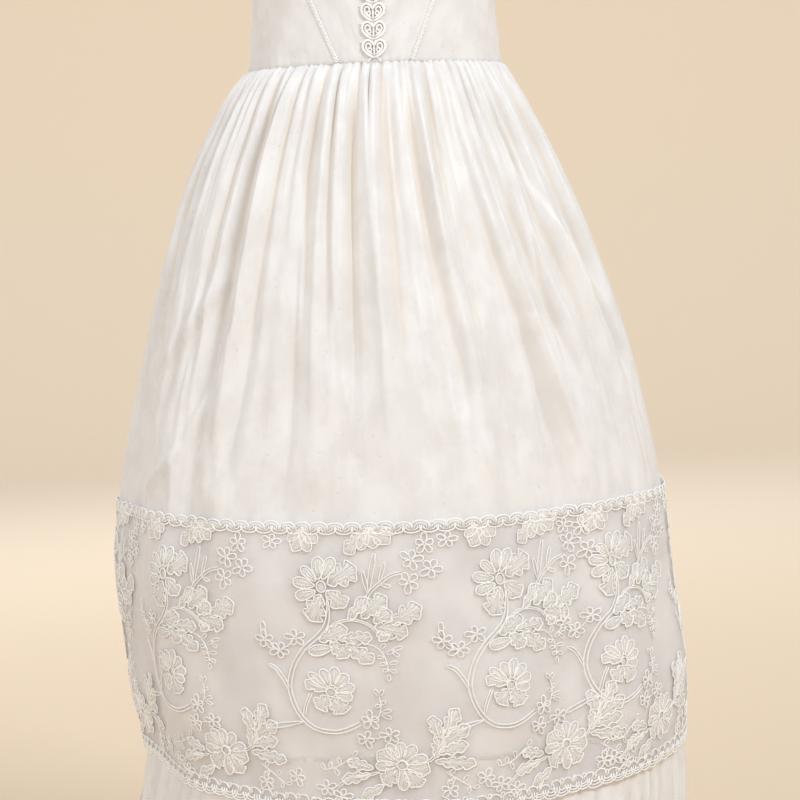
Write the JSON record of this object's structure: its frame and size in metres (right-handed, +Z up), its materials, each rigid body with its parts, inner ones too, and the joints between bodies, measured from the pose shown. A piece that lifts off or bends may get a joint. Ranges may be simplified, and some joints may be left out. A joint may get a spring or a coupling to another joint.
{
  "type": "christening gown",
  "caption": "Baby's long sleeveless gown with a fitted bodice, gathered skirt, embroidered lace band and gathered flounce.",
  "frame": {"origin": "the middle of the shoulder line, where the wearer's shoulders carry the gown", "axes": "+Z up towards the shoulders; the gown's front faces -Y; +X is the wearer's left, at the right of the picture"},
  "size_m": [0.4172, 0.3101, 0.8014],
  "materials": {
    "silk": "ivory slubbed silk with a soft sheen",
    "net": "fine even net, off-white, over the silk",
    "embroidery": "off-white corded thread, satin and matt",
    "guipure": "off-white openwork thread, matt",
    "pearl": "small pearly buttons"
  },
  "bodies": {
    "root": {"bodice_front_centre": "silk", "bodice_front_side_left": "silk", "bodice_front_side_right": "silk", "bodice_back_left": "silk", "bodice_back_right": "silk", "insertion_left": "guipure", "insertion_right": "guipure", "heart_trim": "guipure", "neck_binding": "silk", "armhole_binding_left": "silk", "armhole_binding_right": "silk", "button_1": "pearl", "button_2": "pearl", "button_3": "pearl", "button_4": "pearl", "skirt_front": "silk", "flounce_front": "silk", "lace_front": "net", "lace_heading_front": "embroidery", "lace_border_front": "embroidery", "skirt_back": "silk", "flounce_back": "silk", "lace_back": "net", "lace_heading_back": "embroidery", "lace_border_back": "embroidery", "spray_01": "embroidery", "border_spray_01": "embroidery", "spray_02": "embroidery", "border_spray_02": "embroidery", "spray_03": "embroidery", "border_spray_03": "embroidery", "spray_04": "embroidery", "border_spray_04": "embroidery", "spray_05": "embroidery", "border_spray_05": "embroidery", "spray_06": "embroidery", "border_spray_06": "embroidery", "spray_07": "embroidery", "border_spray_07": "embroidery", "spray_08": "embroidery", "border_spray_08": "embroidery", "spray_09": "embroidery", "border_spray_09": "embroidery", "spray_10": "embroidery", "border_spray_10": "embroidery"}
  },
  "joints": []
}
